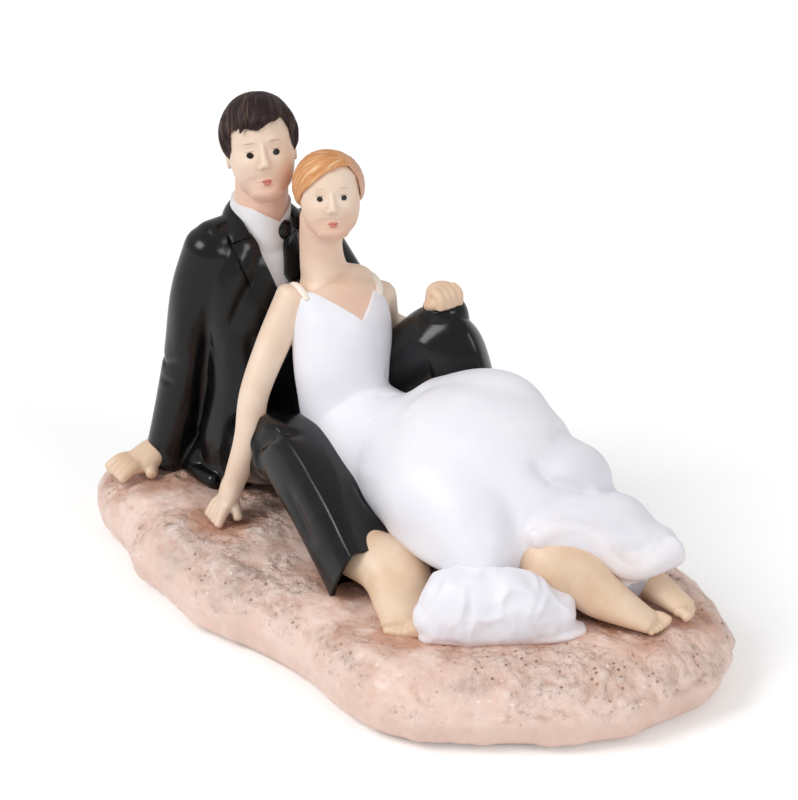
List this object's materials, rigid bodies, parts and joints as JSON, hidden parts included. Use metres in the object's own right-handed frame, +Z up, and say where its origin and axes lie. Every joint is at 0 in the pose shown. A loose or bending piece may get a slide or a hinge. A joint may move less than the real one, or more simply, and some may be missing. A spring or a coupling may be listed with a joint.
{
  "type": "wedding cake topper",
  "caption": "Cake topper in cast and painted resin: a groom and a bride in wedding clothes recline barefoot, leaning together, on a flat-bottomed slab of beach sand.",
  "frame": {"origin": "centre of the flat underside of the sand slab", "axes": "+X along the slab towards the couple's feet, +Y to the couple's left, +Z up"},
  "size_m": [0.146, 0.08, 0.0967],
  "materials": {
    "sand": "cast resin, textured and painted as beach sand, lightly varnished",
    "skin": "cast resin painted pale skin, satin",
    "tanned_skin": "cast resin painted warm skin, satin",
    "brown_hair": "cast resin painted dark brown, satin",
    "blond_hair": "cast resin painted reddish blond, satin",
    "white_dress": "cast resin painted white, satin",
    "black_suit": "cast resin painted black, glossy varnish",
    "white_shirt": "cast resin painted white, satin"
  },
  "bodies": {
    "root": {"sand_base": "sand", "groom_head": "skin", "bride_head": "skin", "groom_hair": "brown_hair", "bride_hair": "blond_hair", "bride_right_arm": "skin", "groom_right_hand": "tanned_skin", "groom_left_hand": "tanned_skin", "groom_right_foot": "tanned_skin", "groom_left_foot": "tanned_skin", "bride_right_leg": "tanned_skin", "bride_left_foot": "tanned_skin", "bride_shoulders": "skin", "bride_right_strap": "white_dress", "bride_left_strap": "white_dress", "bride_bodice": "white_dress", "groom_left_sleeve": "black_suit", "bride_left_arm": "skin", "groom_right_sleeve": "black_suit", "groom_right_trouser_leg": "black_suit", "groom_left_trouser_leg": "black_suit", "bride_skirt": "white_dress", "bride_underskirt": "white_dress", "groom_tie": "black_suit", "groom_shirt": "white_shirt", "jacket_right_lapel": "black_suit", "jacket_left_lapel": "black_suit", "groom_jacket": "black_suit"}
  },
  "joints": []
}
